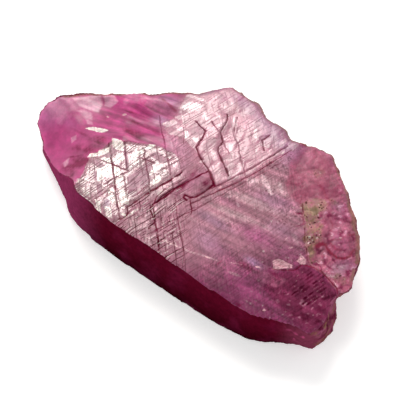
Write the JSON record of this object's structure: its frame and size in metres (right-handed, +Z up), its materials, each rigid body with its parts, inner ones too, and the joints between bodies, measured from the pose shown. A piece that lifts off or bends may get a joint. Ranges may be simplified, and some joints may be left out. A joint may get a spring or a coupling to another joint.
{
  "type": "rough sapphire",
  "caption": "Flat rough sapphire crystal with a satin growth face on top, a conchoidal broken end, a weathered shoulder and dark side walls, lying on its flat underside.",
  "frame": {"origin": "under the middle of the stone, on the surface that it rests on", "axes": "+X along the stone from the thin broken end to the notched end, +Y towards the side with the lobed rim, +Z up through the top face"},
  "size_m": [0.0306, 0.0168, 0.0045],
  "materials": {
    "rough_sapphire": "natural satin growth faces, glassy where broken"
  },
  "bodies": {
    "root": {"rough_sapphire": "rough_sapphire"}
  },
  "joints": []
}
